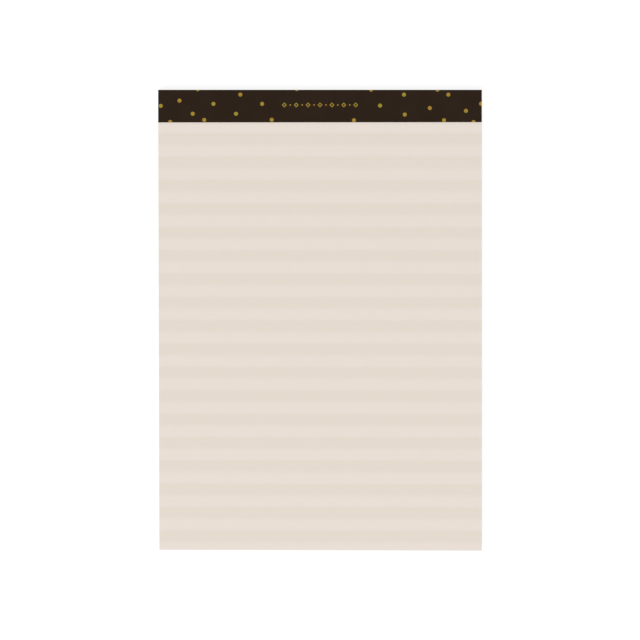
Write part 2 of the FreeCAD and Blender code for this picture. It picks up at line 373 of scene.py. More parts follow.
@dataclass(frozen=True)
class BandPrint(WritingPaper):
    """Offset ink on the same paper, printed as a pale tint that fades out at both sides of each band.

    To the eye it has no gloss or body of its own, because it soaks in, and it is only a little darker than
    the paper.
    """

    name: str = "offset_tinted_writing_paper"
    # What the ink lets through of the paper's colour
    ink: str = "#FAFAF7"
    band_length: float = 7.8 * MM
    # How far the tint takes to fade at each side, with the band's edge half way
    foot_fade: float = 4.2 * MM
    head_fade: float = 2.2 * MM
    # The film carries this attribute: how far each point lies above the band's edge at the foot
    measure: str = "up_the_band"

    def face(self, tree: NodeTree, place: NodeSocket, flecks: Node) -> NodeSocket:
        """Adds the paper's tone with the ink over it.

        Args:
            tree: The material's node tree.
            place: The object coordinates.
            flecks: The pattern of fibre flecks.

        Returns:
            The colour.
        """
        paper = super().face(tree, place, flecks)
        up = add_node(tree, "ShaderNodeAttribute", attribute_name=self.measure).outputs["Fac"]
        shares = []
        for edge, fade, ends in (
            (0.0, self.foot_fade, {"To Min": 0.0, "To Max": 1.0}),
            (self.band_length, self.head_fade, {"To Min": 1.0, "To Max": 0.0}),
        ):
            reach = {"Value": up, "From Min": edge - fade / 2, "From Max": edge + fade / 2} | ends
            shares.append(add_node(tree, "ShaderNodeMapRange", reach, interpolation_type="SMOOTHSTEP"))
        inked = add_node(tree, "ShaderNodeMath", {0: shares[0], 1: shares[1]}, operation="MULTIPLY")
        film = {0: inked, 6: paper, 7: linear(self.ink)}
        return add_node(tree, "ShaderNodeMix", film, data_type="RGBA", blend_type="MULTIPLY").outputs[2]


@dataclass(frozen=True)
class Chipboard(Finish):
    """Grey-brown chipboard, pressed from waste paper in several plies.

    To the eye it is a dull, warm grey with a soft mottle, fine light and dark fibres lying every way, a
    dark speck of old print here and there, and plies at its cut edge.
    """

    name: str = "recycled_chipboard"
    tone: str = "#A99C8B"
    dark: str = "#8A7D6C"
    pale: str = "#C0B5A5"
    speck: str = "#5E5347"
    roughness: float = 0.92
    specular: float = 0.25
    mottle_mm: float = 9.0
    # Waste-paper fibres are up to 3 mm long and 0.03 mm wide, so they are drawn ten times as wide to show
    fibre_mm: float = 1.9
    fibre_width_mm: float = 0.32
    speck_mm: float = 0.7
    ply_mm: float = 0.25

    def surface(self, tree: NodeTree) -> Node:
        """Adds the mottle, the crossing fibres, the specks and the plies of the cut edge.

        Args:
            tree: The material's node tree.

        Returns:
            The node of the whole surface.
        """
        place = add_node(tree, "ShaderNodeTexCoord").outputs["Object"]
        mottled = {"Vector": place, "Scale": per_metre(self.mottle_mm), "Detail": 5.0}
        mottle = add_node(tree, "ShaderNodeTexNoise", mottled)
        faint = {"Value": mottle, "From Min": 0.3, "From Max": 0.7, "To Max": 0.35}
        share = add_node(tree, "ShaderNodeMapRange", faint)
        ends = {0: share, 6: linear(self.tone), 7: linear(self.dark)}
        tone = add_node(tree, "ShaderNodeMix", ends, data_type="RGBA").outputs[2]
        fibre = (self.fibre_width_mm * MM, self.fibre_mm * MM, self.ply_mm * MM)
        speck = (self.speck_mm * MM,) * 3
        relief = None
        for turn, size, colour, threshold, strength in (
            (20, fibre, self.dark, 0.6, 0.6),
            (-28, fibre, self.pale, 0.6, 0.6),
            (74, fibre, self.dark, 0.62, 0.5),
            (-80, fibre, self.pale, 0.62, 0.5),
            (0, speck, self.speck, 0.75, 0.7),
        ):
            # The texture kind of mapping turns first and then divides by the size, so the fibres turn too
            turned = {"Vector": place, "Rotation": (0, 0, math.radians(turn)), "Scale": size}
            laid = add_node(tree, "ShaderNodeMapping", turned, vector_type="TEXTURE")
            # Each lot starts somewhere else in the noise, because its own turn alone would leave them alike
            moved = add_node(tree, "ShaderNodeVectorMath", {0: laid, 1: (turn, turn, 0.0)}, operation="ADD")
            twisted = {"Vector": moved, "Scale": 1.0, "Detail": 3.0, "Distortion": 0.9}
            marks = add_node(tree, "ShaderNodeTexNoise", twisted)
            edges = {"From Min": threshold - 0.05, "From Max": threshold + 0.05, "To Max": strength}
            shown = add_node(tree, "ShaderNodeMapRange", {"Value": marks} | edges)
            ends = {0: shown, 6: tone, 7: linear(colour)}
            tone = add_node(tree, "ShaderNodeMix", ends, data_type="RGBA").outputs[2]
            if relief:
                marks = add_node(tree, "ShaderNodeMath", {0: relief, 1: marks}, operation="ADD")
            relief = marks
        rough = add_node(tree, "ShaderNodeBump", {"Height": relief, "Strength": 0.4, "Distance": 0.04 * MM})
        look = {"Base Color": tone, "Normal": rough}
        look |= {"Roughness": self.roughness, "Specular IOR Level": self.specular}
        return add_node(tree, "ShaderNodeBsdfPrincipled", look)


@dataclass(frozen=True)
class CoverPaper(Finish):
    """Cover paper dyed through in dark brown, calendered and glued round the head.

    To the eye it is nearly black with a warm cast, has a faint even grain, and is rubbed a little paler at
    the fold.
    """

    name: str = "dyed_cover_paper"
    tone: str = "#261B11"
    grain: str = "#2C2015"
    rubbed: str = "#43362A"
    roughness: float = 0.8
    specular: float = 0.08
    # The felt grain of a real cover paper is about 0.3 mm, and is drawn at twice that to show
    grain_mm: float = 0.6
    cloud_mm: float = 14.0
    fold_y: float = 149.195 * MM
    rub_mm: float = 0.35

    def surface(self, tree: NodeTree) -> Node:
        """Adds the dyed tone, the felt grain with its relief, and the rubbed fold.

        Args:
            tree: The material's node tree.

        Returns:
            The node of the whole surface.
        """
        place = add_node(tree, "ShaderNodeTexCoord").outputs["Object"]
        grain, clouds = (
            add_node(tree, "ShaderNodeTexNoise", {"Vector": place} | pattern)
            for pattern in (
                {"Scale": per_metre(self.grain_mm), "Detail": 3.0},
                {"Scale": per_metre(self.cloud_mm), "Detail": 2.0},
            )
        )
        spread = add_node(tree, "ShaderNodeMix", {0: 0.5, 2: grain, 3: clouds})
        uneven = add_node(tree, "ShaderNodeMapRange", {"Value": spread, "From Min": 0.35, "From Max": 0.65})
        ends = {0: uneven, 6: linear(self.tone), 7: linear(self.grain)}
        dyed = add_node(tree, "ShaderNodeMix", ends, data_type="RGBA").outputs[2]
        y = add_node(tree, "ShaderNodeSeparateXYZ", {0: place}).outputs[1]
        start = self.fold_y - self.rub_mm * MM
        rub = {"Value": y, "From Min": start, "From Max": self.fold_y, "To Max": 0.5}
        near_fold = add_node(tree, "ShaderNodeMapRange", rub)
        patchy = add_node(tree, "ShaderNodeMath", {0: near_fold, 1: grain}, operation="MULTIPLY")
        ends = {0: patchy, 6: dyed, 7: linear(self.rubbed)}
        tone = add_node(tree, "ShaderNodeMix", ends, data_type="RGBA").outputs[2]
        felt = add_node(tree, "ShaderNodeBump", {"Height": grain, "Strength": 0.5, "Distance": 0.03 * MM})
        look = {"Base Color": tone, "Normal": felt}
        look |= {"Roughness": self.roughness, "Specular IOR Level": self.specular}
        return add_node(tree, "ShaderNodeBsdfPrincipled", look)


@dataclass(frozen=True)
class StampedFoil(Finish):
    """Gold foil, hot-stamped on cover paper.

    To the eye it is a satin metal that takes the paper's grain, so it glints unevenly from mark to mark.
    """

    name: str = "hot_stamped_gold_foil"
    tone: str = "#928031"
    deep: str = "#987832"
    roughness: float = 0.38
    # The grain that the foil takes from the paper
    grain_mm: float = 0.6
    # Marks differ a little in tone, over about the distance from one to the next
    drift_mm: float = 12.0

    def surface(self, tree: NodeTree) -> Node:
        """Adds the metal, its drift in tone and the relief of the paper under it.

        Args:
            tree: The material's node tree.

        Returns:
            The node of the whole surface.
        """
        place = add_node(tree, "ShaderNodeTexCoord").outputs["Object"]
        drift, grain = (
            add_node(tree, "ShaderNodeTexNoise", {"Vector": place} | pattern)
            for pattern in (
                {"Scale": per_metre(self.drift_mm), "Detail": 1.0},
                {"Scale": per_metre(self.grain_mm), "Detail": 3.0},
            )
        )
        uneven = add_node(tree, "ShaderNodeMapRange", {"Value": drift, "From Min": 0.35, "From Max": 0.65})
        ends = {0: uneven, 6: linear(self.tone), 7: linear(self.deep)}
        tone = add_node(tree, "ShaderNodeMix", ends, data_type="RGBA").outputs[2]
        matt = {"Value": grain, "From Min": 0.3, "From Max": 0.7}
        matt |= {"To Min": self.roughness - 0.08, "To Max": self.roughness + 0.1}
        worn = add_node(tree, "ShaderNodeMapRange", matt)
        felt = add_node(tree, "ShaderNodeBump", {"Height": grain, "Strength": 0.3, "Distance": 0.02 * MM})
        look = {"Base Color": tone, "Metallic": 1.0, "Roughness": worn, "Normal": felt}
        return add_node(tree, "ShaderNodeBsdfPrincipled", look)


@dataclass(frozen=True)
class ZincWire(Finish):
    """Zinc-coated steel wire, drawn and stitched.

    To the eye it is a soft grey metal with duller spots in the coating.
    """

    name: str = "zinc_coated_steel_wire"
    tone: str = "#B4B6B8"
    dull: str = "#8E9092"
    roughness: float = 0.32
    spot_mm: float = 0.9

    def surface(self, tree: NodeTree) -> Node:
        """Adds the metal and its duller spots.

        Args:
            tree: The material's node tree.

        Returns:
            The node of the whole surface.
        """
        place = add_node(tree, "ShaderNodeTexCoord").outputs["Object"]
        spotted = {"Vector": place, "Scale": per_metre(self.spot_mm), "Detail": 4.0}
        spots = add_node(tree, "ShaderNodeTexNoise", spotted)
        spread = add_node(tree, "ShaderNodeMapRange", {"Value": spots, "From Min": 0.4, "From Max": 0.7})
        ends = {0: spread, 6: linear(self.tone), 7: linear(self.dull)}
        tone = add_node(tree, "ShaderNodeMix", ends, data_type="RGBA").outputs[2]
        matt = {"Value": spots, "To Min": self.roughness - 0.05, "To Max": self.roughness + 0.15}
        worn = add_node(tree, "ShaderNodeMapRange", matt)
        look = {"Base Color": tone, "Metallic": 1.0, "Roughness": worn}
        return add_node(tree, "ShaderNodeBsdfPrincipled", look)


@dataclass(frozen=True)
class StudioFloor(Finish):
    """A white studio floor, which shows white to the camera and keeps the pad's soft shadow."""

    name: str = "white_studio_floor"
    paint: str = "#E8E8E8"
    # How much of the light and shade on it shows, and how much white is added to that
    shown_share: float = 0.2
    glow: float = 0.85

    def surface(self, tree: NodeTree) -> Node:
        """Adds plain paint for the light that the floor throws back, and a lit white for what sees it.

        Args:
            tree: The material's node tree.

        Returns:
            The node of the whole surface.
        """
        paint = add_node(tree, "ShaderNodeBsdfDiffuse", {"Color": linear(self.paint)})
        shaded = add_node(tree, "ShaderNodeBsdfDiffuse", {"Color": (*[self.shown_share] * 3, 1.0)})
        lit = add_node(tree, "ShaderNodeEmission", {"Color": WHITE, "Strength": self.glow})
        white = add_node(tree, "ShaderNodeAddShader", {0: shaded, 1: lit})
        return add_node(tree, "ShaderNodeMixShader", {0: seen_directly(tree), 1: paint, 2: white})


def seen_directly(tree: NodeTree) -> Node:
    """Adds the rays that show a background: camera, glossy and transmission rays.

    Args:
        tree: The node tree to add to.

    Returns:
        A node that gives 1 on those rays and 0 on all others.
    """
    path = add_node(tree, "ShaderNodeLightPath")
    found = path
    for ray in ("Is Glossy Ray", "Is Transmission Ray"):
        found = add_node(tree, "ShaderNodeMath", {0: found, 1: path.outputs[ray]}, operation="MAXIMUM")
    return found


@dataclass
class TrimSkew:
    """How far the guillotine's cuts are out of square, which draws the left end of the foot inwards."""

    left: float = 0.82 * MM
    foot: float = 0.58 * MM

    @cached_property
    def group(self) -> NodeTree:
        """The group that moves a sheet's points by the skew, for a sheet that runs down from Y = 0."""
        tree, size = geometry_tree("out_of_square", {"Geometry": None, "Width": 1.0, "Length": 1.0})
        position = add_node(tree, "GeometryNodeInputPosition")
        at = add_node(tree, "ShaderNodeSeparateXYZ", {0: position}).outputs
        across = add_node(tree, "ShaderNodeMath", {0: at[0], 1: size["Width"]}, operation="DIVIDE")
        from_right = add_node(tree, "ShaderNodeMath", {0: 0.5, 1: across}, operation="SUBTRACT")
        down = add_node(tree, "ShaderNodeMath", {0: at[1], 1: size["Length"]}, operation="DIVIDE")
        share = add_node(tree, "ShaderNodeMath", {0: from_right, 1: down}, operation="MULTIPLY")
        # The share is negative, because the foot's Y is
        whole = {0: (-self.left, -self.foot, 0.0), "Scale": share}
        drawn = add_node(tree, "ShaderNodeVectorMath", whole, operation="SCALE")
        moved = add_node(tree, "GeometryNodeSetPosition", {"Geometry": size["Geometry"], "Offset": drawn})
        add_node(tree, "NodeGroupOutput", {"Geometry": moved})
        return tree

    def add_to(self, tree: NodeTree, shape: Node, size: NodeOutputs) -> Node:
        """Adds the group to a tree.

        Args:
            tree: The node tree to add to.
            shape: The node that gives the sheet, or what is printed on it.
            size: The tree's inputs, the sheet's width and length among them.

        Returns:
            The node that gives the skewed shape.
        """
        given = {"Geometry": shape, "Width": size["Width"], "Length": size["Length"]}
        return add_node(tree, "GeometryNodeGroup", given, node_tree=self.group)

    def apply(self, mesh: Mesh, head: float, foot: float, right: float) -> None:
        """Moves a mesh's points by the skew.

        Args:
            mesh: The mesh, in place on the pad.
            head: Y of its head edge.
            foot: Y of its foot edge.
            right: X of its right edge.
        """
        for point in mesh.vertices:
            share = (head - point.co.y) / (head - foot) * (right - point.co.x) / (2 * right)
            point.co.x += self.left * share
            point.co.y += self.foot * share


@dataclass
class SheetStack:
    """The sheets: all but the first in one piece, the first on its own, and the bands printed on it."""

    trim: TrimSkew
    low: Vector
    high: Vector
    strip_end: float
    count: int = 50
    pitch: float = 0.1 * MM
    # A sheet fills most of its pitch, and the rest is the air between rough faces
    caliper: float = 0.09 * MM
    slits: int = 99
    slit_pitch: float = 2.1 * MM
    slit_length: float = 1.5 * MM
    # A slit springs nearly shut behind the blade, so the drawn one is narrower than the solid's
    slit_width: float = 0.05 * MM
    edge_tie: float = 1.0 * MM
    perforation_drop: float = 1.0 * MM
    fold_radius: float = 0.3 * MM
    # How far a sheet may fall short at each side and at the foot, and how far the first one rises there
    short_side: float = 0.09 * MM
    short_foot: float = 0.12 * MM
    rise: float = 0.12 * MM
    # How fast the unevenness drifts from sheet to sheet, and how much of it is each sheet's own
    drift: float = 0.23
    own_share: float = 0.35
    seed: int = 7
    bands: int = 18
    band_start: float = -144.225 * MM
    band_pitch: float = 15.15 * MM
    # Ink has no thickness to speak of, so the film is as thin as keeps it clear of the sheet
    ink: float = 0.008 * MM
    paper: Finish = field(default_factory=WritingPaper)
    tint: BandPrint = field(default_factory=BandPrint)

    @property
    def width(self) -> float:
        """The width of a sheet."""
        return self.high.x - self.low.x

    @property
    def length(self) -> float:
        """The length of a sheet."""
        return self.high.y - self.low.y

    @property
    def perforation(self) -> float:
        """Y of the slits' middle on a sheet whose head is at Y = 0."""
        return self.strip_end - self.perforation_drop - self.high.y

    @property
    def tilt(self) -> float:
        """The angle that each sheet adds to the one below it, which fans the foot by a hair."""
        return self.rise / self.length / self.count

    @property
    def sheet_sizes(self) -> dict:
        """The sizes of one sheet."""
        slit = sizes_of(self, "slits", "slit_pitch", "slit_length", "slit_width", "edge_tie", "perforation")
        return sizes_of(self, "width", "length", "caliper") | slit

    @staticmethod
    def divide(tree: NodeTree, number: Node, by: int) -> list[Node]:
        """Adds a division of whole numbers.

        Args:
            tree: The node tree to add to.
            number: The number to divide.
            by: The number to divide it by.

        Returns:
            The node that gives how often it goes, and the node that gives what is left over.
        """
        return [
            add_node(tree, "FunctionNodeIntegerMath", {0: number, 1: by}, operation=result)
            for result in ("DIVIDE_FLOOR", "MODULO")
        ]

    @staticmethod
    def set_ends(tree: NodeTree, inner: Node, number: Node, ends: dict) -> Node:
        """Adds the choice between the places of the slits and those of the sheet's own edges.

        Args:
            tree: The node tree to add to.
            inner: The place on all rows or columns but the outermost.
            number: The number of the row or column.
            ends: The place on each outermost row or column, by its number.

        Returns:
            The node that gives the place.
        """
        for end, place in ends.items():
            there = add_node(tree, "FunctionNodeCompare", {2: number, 3: end}, **SAME_NUMBER)
            ways = {"Switch": there, "False": inner, "True": place}
            inner = add_node(tree, "GeometryNodeSwitch", ways, input_type="FLOAT")
        return inner

    def sheet_nodes(self) -> NodeTree:
        """Builds the group that makes one perforated sheet.

        Returns:
            A group whose sheet has its head at Y = 0, its foot at minus its length and its base at Z = 0.
        """
        tree, size = geometry_tree("perforated_sheet", self.sheet_sizes)
        # Each slit has two columns of points, and each side of the sheet one
        terms = {0: size["Slits"], 1: 2.0, 2: 2.0}
        columns = add_node(tree, "ShaderNodeMath", terms, operation="MULTIPLY_ADD")
        last_column = add_node(tree, "ShaderNodeMath", {0: columns, 1: 1.0}, operation="SUBTRACT")
        # From the foot: the sheet's edge, the two sides of the slits and the head
        rows = 4
        fineness = {"Size X": 1.0, "Size Y": 1.0, "Vertices X": columns, "Vertices Y": rows}
        grid = add_node(tree, "GeometryNodeMeshGrid", fineness)
        index = add_node(tree, "GeometryNodeInputIndex")
        column, row = self.divide(tree, index, rows)
        # Columns 1 and 2 are the ends of the first slit, 3 and 4 those of the second, and so on
        inner = add_node(tree, "FunctionNodeIntegerMath", {0: column, 1: 1}, operation="SUBTRACT")
        slit, far_end = self.divide(tree, inner, 2)
        terms = {0: slit, 1: size["Slit Pitch"], 2: size["Edge Tie"]}
        start = add_node(tree, "ShaderNodeMath", terms, operation="MULTIPLY_ADD")
        terms = {0: far_end, 1: size["Slit Length"], 2: start}
        slit_x = add_node(tree, "ShaderNodeMath", terms, operation="MULTIPLY_ADD")
        from_left = self.set_ends(tree, slit_x, column, {0: 0.0, last_column: size["Width"]})
        terms = {0: size["Width"], 1: -0.5, 2: from_left}
        x = add_node(tree, "ShaderNodeMath", terms, operation="MULTIPLY_ADD")
        off_middle = add_node(tree, "ShaderNodeMath", {0: row, 1: (rows - 1) / 2}, operation="SUBTRACT")
        terms = {0: off_middle, 1: size["Slit Width"], 2: size["Perforation"]}
        slit_y = add_node(tree, "ShaderNodeMath", terms, operation="MULTIPLY_ADD")
        foot = add_node(tree, "ShaderNodeMath", {0: 0.0, 1: size["Length"]}, operation="SUBTRACT")
        y = self.set_ends(tree, slit_y, row, {0: foot, rows - 1: 0.0})
        spot = add_node(tree, "ShaderNodeCombineXYZ", {0: x, 1: y})
        laid = add_node(tree, "GeometryNodeSetPosition", {"Geometry": grid, "Position": spot})
        # The faces between a slit's ends are the odd columns of the middle row
        cell_column, cell_row = self.divide(tree, index, rows - 1)
        odd = self.divide(tree, cell_column, 2)[1]
        middle = add_node(tree, "FunctionNodeCompare", {2: cell_row, 3: 1}, **SAME_NUMBER)
        opening = add_node(tree, "FunctionNodeBooleanMath", {0: odd, 1: middle}, operation="AND")
        gone = {"Geometry": laid, "Selection": opening}
        slotted = add_node(tree, "GeometryNodeDeleteGeometry", gone, domain="FACE")
        trimmed = self.trim.add_to(tree, thicken(tree, slotted, size["Caliper"]), size)
        add_node(tree, "NodeGroupOutput", {"Geometry": trimmed})
        return tree

    def stack_nodes(self, values: dict) -> NodeTree:
        """Builds the tree that lays the sheets on each other, each a hair off the last.

        Args:
            values: The value of each of the tree's inputs.

        Returns:
            The tree.
        """
        tree, size = geometry_tree("sheet_stack", values)
        one_size = {name: size[name] for name in self.sheet_sizes}
        one = add_node(tree, "GeometryNodeGroup", one_size, node_tree=self.sheet_nodes())
        nowhere = (0.0, 0.0, 0.0)
        row = {"Count": size["Sheets"], "Start Location": nowhere, "Offset": nowhere}
        places = add_node(tree, "GeometryNodeMeshLine", row)
        index = add_node(tree, "GeometryNodeInputIndex")
        number = add_node(tree, "ShaderNodeMath", {0: index, 1: size["First Place"]}, operation="ADD")
        terms = {0: number, 1: size["Pitch"], 2: size["Bottom"]}
        lift = add_node(tree, "ShaderNodeMath", terms, operation="MULTIPLY_ADD")
        spot = add_node(tree, "ShaderNodeCombineXYZ", {1: size["Head"], 2: lift})
        piled = add_node(tree, "GeometryNodeSetPosition", {"Geometry": places, "Position": spot})
        # Handling leaves neighbouring sheets alike, so most of the unevenness drifts slowly up the pile
        slow = {"W": number, "Scale": self.drift, "Detail": 2.0}
        drift = add_node(tree, "ShaderNodeTexNoise", slow, noise_dimensions="1D")
        jitter = add_node(tree, "FunctionNodeRandomValue", {2: 0.0, 3: 1.0, "Seed": size["Seed"]})
        uneven = add_node(tree, "ShaderNodeMix", {0: self.own_share, 2: drift, 3: jitter.outputs[1]})
        shrunk = []
        for short, span in (("Short Side", "Width"), ("Short Foot", "Length")):
            lost = add_node(tree, "ShaderNodeMath", {0: uneven, 1: size[short]}, operation="MULTIPLY")
            share = add_node(tree, "ShaderNodeMath", {0: lost, 1: size[span]}, operation="DIVIDE")
            shrunk.append(add_node(tree, "ShaderNodeMath", {0: 1.0, 1: share}, operation="SUBTRACT"))
        scale = add_node(tree, "ShaderNodeCombineXYZ", {0: shrunk[0], 1: shrunk[1], 2: 1.0})
        fan = add_node(tree, "ShaderNodeMath", {0: number, 1: size["Tilt"]}, operation="MULTIPLY")
        fan = add_node(tree, "ShaderNodeMath", {0: 0.0, 1: fan}, operation="SUBTRACT")
        turn = add_node(tree, "ShaderNodeCombineXYZ", {0: fan})
        copies = {"Points": piled, "Instance": one, "Rotation": turn, "Scale": scale}
        laid = add_node(tree, "GeometryNodeInstanceOnPoints", copies)
        real = add_node(tree, "GeometryNodeRealizeInstances", {"Geometry": laid})
        # Near the top the head edges step back to follow the inside of the strip's fold
        position = add_node(tree, "GeometryNodeInputPosition")
        at = add_node(tree, "ShaderNodeSeparateXYZ", {0: position}).outputs
        radius = size["Fold Radius"]
        straight = add_node(tree, "ShaderNodeMath", {0: size["Top"], 1: radius}, operation="SUBTRACT")
        into = at[2]
        for value, step in ((straight, "SUBTRACT"), (0.0, "MAXIMUM"), (radius, "MINIMUM")):
            into = add_node(tree, "ShaderNodeMath", {0: into, 1: value}, operation=step)
        whole, square = (
            add_node(tree, "ShaderNodeMath", {0: length, 1: length}, operation="MULTIPLY")
            for length in (radius, into)
        )
        rest = add_node(tree, "ShaderNodeMath", {0: whole, 1: square}, operation="SUBTRACT")
        root = add_node(tree, "ShaderNodeMath", {0: rest}, operation="SQRT")
        back = add_node(tree, "ShaderNodeMath", {0: radius, 1: root}, operation="SUBTRACT")
        limit = add_node(tree, "ShaderNodeMath", {0: size["Head"], 1: back}, operation="SUBTRACT")
        y = add_node(tree, "ShaderNodeMath", {0: at[1], 1: limit}, operation="MINIMUM")
        spot = add_node(tree, "ShaderNodeCombineXYZ", {0: at[0], 1: y, 2: at[2]})
        stepped = add_node(tree, "GeometryNodeSetPosition", {"Geometry": real, "Position": spot})
        finish_tree(tree, stepped, size["Paper"])
        return tree

    def band_nodes(self, values: dict) -> NodeTree:
        """Builds the tree that prints the bands at their pitch up the first sheet.

        Args:
            values: The value of each of the tree's inputs.

        Returns:
            The tree.
        """
        tree, size = geometry_tree("printed_bands", values)
        # The film of a band reaches past its edges by half of each fade
        terms = {0: size["Foot Fade"], 1: size["Head Fade"]}
        fades = add_node(tree, "ShaderNodeMath", terms, operation="ADD")
        terms = {0: fades, 1: 0.5, 2: size["Band Length"]}
        reach = add_node(tree, "ShaderNodeMath", terms, operation="MULTIPLY_ADD")
        extent = {"Size X": size["Width"], "Size Y": reach, "Vertices X": 2, "Vertices Y": 2}
        film = add_node(tree, "GeometryNodeMeshGrid", extent)
        # The film's middle, above the band's edge at the foot
        half = add_node(tree, "ShaderNodeMath", {0: reach, 1: size["Foot Fade"]}, operation="SUBTRACT")
        half = add_node(tree, "ShaderNodeMath", {0: half, 1: 0.5}, operation="MULTIPLY")
        position = add_node(tree, "GeometryNodeInputPosition")
        at = add_node(tree, "ShaderNodeSeparateXYZ", {0: position}).outputs
        up = add_node(tree, "ShaderNodeMath", {0: at[1], 1: half}, operation="ADD")
        written = {"Geometry": film, "Name": size["Measure"], "Value": up}
        measured = add_node(tree, "GeometryNodeStoreNamedAttribute", written, data_type="FLOAT")
        middle = add_node(tree, "ShaderNodeMath", {0: size["Band Start"], 1: half}, operation="ADD")
        first = add_node(tree, "ShaderNodeCombineXYZ", {1: middle})
        step = add_node(tree, "ShaderNodeCombineXYZ", {1: size["Band Pitch"]})
        row = {"Count": size["Bands"], "Start Location": first, "Offset": step}
        places = add_node(tree, "GeometryNodeMeshLine", row)
        laid = add_node(tree, "GeometryNodeInstanceOnPoints", {"Points": places, "Instance": measured})
        real = add_node(tree, "GeometryNodeRealizeInstances", {"Geometry": laid})
        trimmed = self.trim.add_to(tree, thicken(tree, real, size["Ink"]), size)
        # The rise is far too slight a turn for Transform Geometry, so the film is sheared with its sheet
        fan = add_node(tree, "ShaderNodeMath", {0: 0.0, 1: size["Tilt"]}, operation="SUBTRACT")
        terms = {0: at[1], 1: fan, 2: size["Height"]}
        lift = add_node(tree, "ShaderNodeMath", terms, operation="MULTIPLY_ADD")
        place = add_node(tree, "ShaderNodeCombineXYZ", {1: size["Head"], 2: lift})
        moved = add_node(tree, "GeometryNodeSetPosition", {"Geometry": trimmed, "Offset": place})
        finish_tree(tree, moved, size["Print"])
        return tree

    def build(self) -> None:
        """Makes the stack, the first sheet and its bands, and hands them over."""
        levels = {"Head": self.high.y, "Top": self.high.z, "Bottom": self.low.z + self.pitch - self.caliper}
        loose = sizes_of(self, "pitch", "fold_radius", "tilt", "short_side", "short_foot", "seed")
        rest = {"Sheets": self.count - 1, "First Place": 0, "Paper": self.paper.material()}
        values = self.sheet_sizes | levels | loose | rest
        tree = self.stack_nodes(values)
        hand_over(grow("sheets", tree, values), Slot.SHEET, "sheet_block")
        flush = {"Sheets": 1, "First Place": self.count - 1, "Short Side": 0.0, "Short Foot": 0.0}
        hand_over(grow("first_sheet", tree, values | flush), Slot.SHEET, "sheet_block")

        printed = sizes_of(self, "width", "length", "bands", "band_pitch", "ink")
        printed |= sizes_of(self.tint, "band_length", "foot_fade", "head_fade", "measure")
        printed |= {
            "Band Start": self.band_start - self.high.y,
            "Head": self.high.y,
            "Height": self.high.z,
            "Tilt": self.tilt * (self.count - 1),
            "Print": self.tint.material(),
        }
        hand_over(grow("bands", self.band_nodes(printed), printed), Slot.BAND, "printed_bands")


@dataclass
class BackingBoard:
    """The chipboard back, trimmed with the sheets, so it shares their skew."""

    trim: TrimSkew
    finish: Finish = field(default_factory=Chipboard)

    def build(self) -> None:
        """Copies the board's solid with its stitch holes, trims it and hands it over."""
        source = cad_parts["backing_board"]
        low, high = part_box("backing_board")
        mesh = bpy.data.meshes.new("board")
        work = bmesh.new()
        work.from_mesh(source.data)
        bmesh.ops.remove_doubles(work, verts=work.verts, dist=WELD)
        bmesh.ops.dissolve_limit(work, angle_limit=math.radians(0.5), verts=work.verts, edges=work.edges)
        work.to_mesh(mesh)
        work.free()
        mesh.attributes.remove(mesh.attributes["custom_normal"])
        mesh.shade_flat()
        self.trim.apply(mesh, high.y, low.y, high.x)
        mesh.materials.clear()
        mesh.materials.append(self.finish.material())
        board = bpy.data.objects.new("board", mesh)
        bpy.context.scene.collection.objects.link(board)
        hand_over(board, Slot.BOARD, "backing_board")


